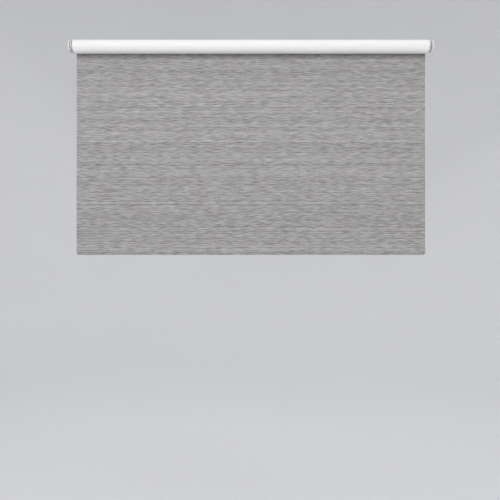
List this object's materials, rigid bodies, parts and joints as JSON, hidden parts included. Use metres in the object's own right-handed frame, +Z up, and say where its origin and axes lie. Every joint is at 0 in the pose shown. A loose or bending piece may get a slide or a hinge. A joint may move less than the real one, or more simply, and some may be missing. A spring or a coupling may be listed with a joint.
{
  "type": "roller blind",
  "caption": "Cordless spring roller blind with round side brackets, a tube of wound cloth and a grey woven drop with a weighted hem.",
  "frame": {"origin": "on the roller's axis, midway between the two brackets", "axes": "+X along the roller to the right as seen from the room, -Y towards the room, +Z up"},
  "size_m": [1.2, 0.0465, 0.7116],
  "materials": {
    "coated_steel": "white powder coat",
    "white_abs": "moulded, satin",
    "grey_nylon": "moulded, matt",
    "clear_pvc": "extruded",
    "zinc_steel": "zinc plated",
    "spring_steel": "drawn and oiled",
    "mill_aluminium": "extruded, mill finish",
    "woven_cloth": "grey slub weave, coated on its back",
    "coated_cloth": "white coating outside"
  },
  "bodies": {
    "brackets": {"left_bracket_plate": "coated_steel", "left_bracket_cover": "white_abs", "right_bracket_plate": "coated_steel", "right_bracket_cover": "white_abs", "right_bracket_bush": "grey_nylon", "spindle_tang": "zinc_steel", "spindle_rod": "zinc_steel", "spindle_cross_pin": "zinc_steel", "ratchet_wheel": "zinc_steel", "spring_anchor": "grey_nylon", "spindle_clip": "spring_steel"},
    "roll": {"roller_tube": "mill_aluminium", "fabric_spline": "clear_pvc", "fabric_roll": "coated_cloth", "spring_end_cap": "white_abs", "cap_bush": "grey_nylon", "pawl_cover": "zinc_steel", "pawl_pin_a": "zinc_steel", "pawl_pin_b": "zinc_steel", "torsion_spring": "spring_steel", "spring_drive_plug": "grey_nylon", "spindle_bearing": "white_abs", "idle_plug": "white_abs", "idle_pin_spring": "spring_steel", "pin_retainer": "grey_nylon"},
    "pawl_a": {"pawl_a": "zinc_steel"},
    "pawl_b": {"pawl_b": "zinc_steel"},
    "idle_pin": {"idle_pin": "zinc_steel"},
    "hem": {"hem_pocket": "woven_cloth", "weight_bar": "zinc_steel", "left_hem_cap": "white_abs", "right_hem_cap": "white_abs", "fabric_drop": "woven_cloth"}
  },
  "joints": [
    {"name": "tube_spin", "type": "hinge", "parent": "brackets", "child": "roll", "pos_m": [0, 0, 0], "axis": [1, 0, 0], "range_deg": [-1980, 1530]},
    {"name": "hem_lift", "type": "slide", "parent": "brackets", "child": "hem", "axis": [0, 0, 1], "range_m": [-0.7474, 0.5778], "deforming": ["fabric_drop"]},
    {"name": "pawl_a_swing", "type": "hinge", "parent": "roll", "child": "pawl_a", "pos_m": [-0.5825, 0.00726, 0.00866], "axis": [1, 0, 0], "range_deg": [0, 12]},
    {"name": "pawl_b_swing", "type": "hinge", "parent": "roll", "child": "pawl_b", "pos_m": [-0.5825, -0.00726, -0.00866], "axis": [1, 0, 0], "range_deg": [0, 12]},
    {"name": "idle_pin_slide", "type": "slide", "parent": "roll", "child": "idle_pin", "axis": [1, 0, 0], "range_m": [-0.008, 0], "stiffness_N_per_m": 400, "springref_m": 0.01, "deforming": ["idle_pin_spring"]}
  ],
  "couplings": [
    {"joint": "hem_lift", "follows": "tube_spin", "m_per_rad": 0.0216}
  ]
}
